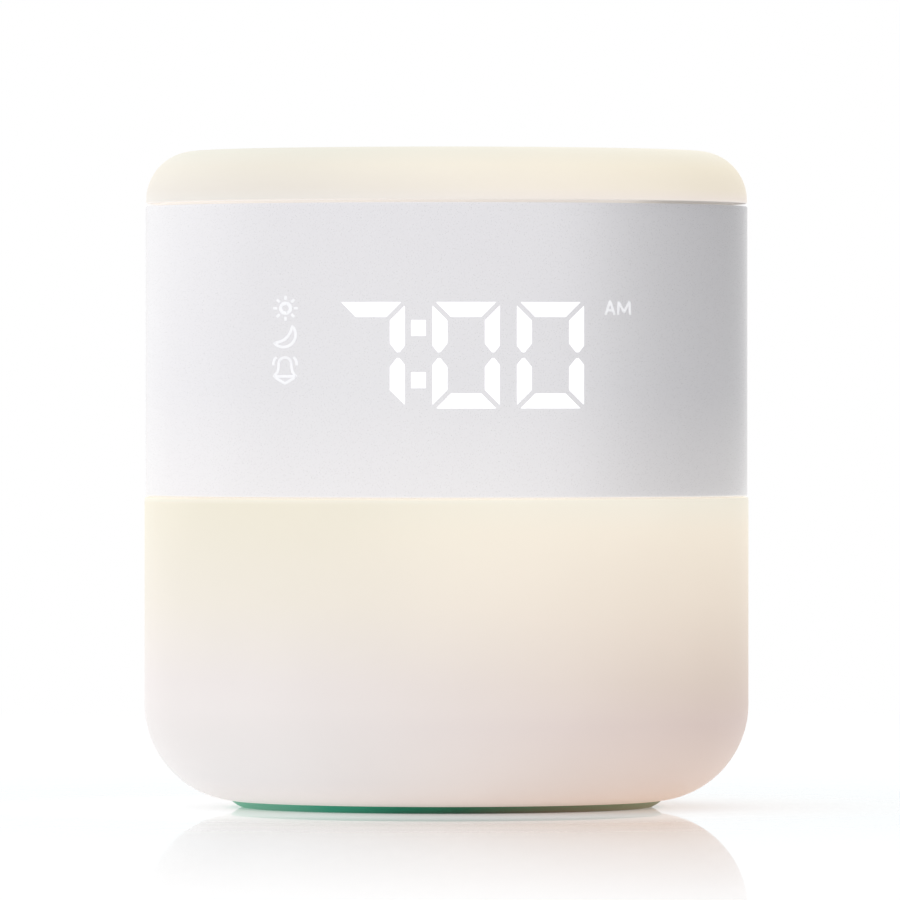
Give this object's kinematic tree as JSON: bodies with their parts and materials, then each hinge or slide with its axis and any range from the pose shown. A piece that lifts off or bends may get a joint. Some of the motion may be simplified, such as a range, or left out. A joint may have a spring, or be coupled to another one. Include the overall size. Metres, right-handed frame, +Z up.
{
  "type": "alarm clock with night light",
  "caption": "Round bedside alarm clock for a child: glowing lower body, pearl band with a segment display, press-down glowing cap for snooze, and keys and power socket at the back.",
  "frame": {"origin": "on the table, under the centre of the drum, at the underside of the foot ring", "axes": "+Z up along the drum's axis; the display faces -Y and the keys and socket face +Y; +X is to the right seen from the front"},
  "size_m": [0.1124, 0.1124, 0.122],
  "materials": {
    "opal_polycarbonate": "opal, satin, lit warm white from inside",
    "pearl_band": "pearl white lacquer",
    "green_silicone": "matte silicone",
    "white_abs": "moulded, fine texture",
    "grey_abs": "moulded, fine texture",
    "segment_diffuser": "lit white diffuser",
    "dark_diffuser": "unlit diffuser, same look as the band",
    "circuit_board": "solder mask",
    "led_package": "phosphor coated",
    "black_plastic": "moulded",
    "steel": "zinc plated",
    "brass": "stamped",
    "paper": "pressed paper",
    "foam": "closed-cell foam",
    "wire_insulation": "PVC",
    "ribbon": "polyimide"
  },
  "bodies": {
    "clock_body": {"foot_ring": "green_silicone", "base_plate": "white_abs", "coin_cell": "steel", "cell_holder": "black_plastic", "cell_contacts": "brass", "speaker_gasket": "foam", "speaker_frame": "steel", "speaker_cone": "paper", "speaker_magnet": "steel", "lower_diffuser": "opal_polycarbonate", "core_frame": "white_abs", "lower_light_board": "circuit_board", "lower_leds": "led_package", "display_band": "pearl_band", "light_box": "white_abs", "lit_light_pipes": "segment_diffuser", "dark_light_pipes": "dark_diffuser", "display_board": "circuit_board", "display_leds": "led_package", "control_panel": "grey_abs", "key_switches": "steel", "main_board": "circuit_board", "board_chips": "black_plastic", "board_connectors": "white_abs", "power_jack": "black_plastic", "jack_pin": "steel", "top_deck": "white_abs", "top_light_board": "circuit_board", "top_leds": "led_package", "snooze_switch": "steel", "return_springs": "steel", "case_screws": "steel", "board_screws": "steel", "wire_harness": "wire_insulation", "display_ribbon": "ribbon"},
    "snooze_cap": {"top_cap": "opal_polycarbonate", "cap_screws": "steel", "snooze_plunger": "black_plastic"},
    "time_button": {"time_key": "white_abs", "time_plunger": "black_plastic"},
    "alarm_button": {"alarm_key": "white_abs", "alarm_plunger": "black_plastic"},
    "light_button": {"light_key": "white_abs", "light_plunger": "black_plastic"},
    "sound_button": {"sound_key": "white_abs", "sound_plunger": "black_plastic"},
    "minus_button": {"minus_key": "white_abs", "minus_plunger": "black_plastic"},
    "plus_button": {"plus_key": "white_abs", "plus_plunger": "black_plastic"},
    "cell_door": {"battery_door": "grey_abs"}
  },
  "joints": [
    {"name": "snooze_press", "type": "slide", "parent": "clock_body", "child": "snooze_cap", "axis": [0, 0, -1], "range_m": [0, 0.0004], "stiffness_N_per_m": 1500, "springref_m": -0.002, "deforming": ["return_springs"]},
    {"name": "time_press", "type": "slide", "parent": "clock_body", "child": "time_button", "axis": [0, -1, 0], "range_m": [0, 0.0004], "stiffness_N_per_m": 2500, "springref_m": -0.0003},
    {"name": "alarm_press", "type": "slide", "parent": "clock_body", "child": "alarm_button", "axis": [0, -1, 0], "range_m": [0, 0.0004], "stiffness_N_per_m": 2500, "springref_m": -0.0003},
    {"name": "light_press", "type": "slide", "parent": "clock_body", "child": "light_button", "axis": [0, -1, 0], "range_m": [0, 0.0004], "stiffness_N_per_m": 2500, "springref_m": -0.0003},
    {"name": "sound_press", "type": "slide", "parent": "clock_body", "child": "sound_button", "axis": [0, -1, 0], "range_m": [0, 0.0004], "stiffness_N_per_m": 2500, "springref_m": -0.0003},
    {"name": "minus_press", "type": "slide", "parent": "clock_body", "child": "minus_button", "axis": [0, -1, 0], "range_m": [0, 0.0004], "stiffness_N_per_m": 2500, "springref_m": -0.0003},
    {"name": "plus_press", "type": "slide", "parent": "clock_body", "child": "plus_button", "axis": [0, -1, 0], "range_m": [0, 0.0004], "stiffness_N_per_m": 2500, "springref_m": -0.0003},
    {"name": "door_turn", "type": "hinge", "parent": "clock_body", "child": "cell_door", "pos_m": [0, -0.0172, 0.002], "axis": [0, 0, 1], "range_deg": [0, 50]}
  ]
}
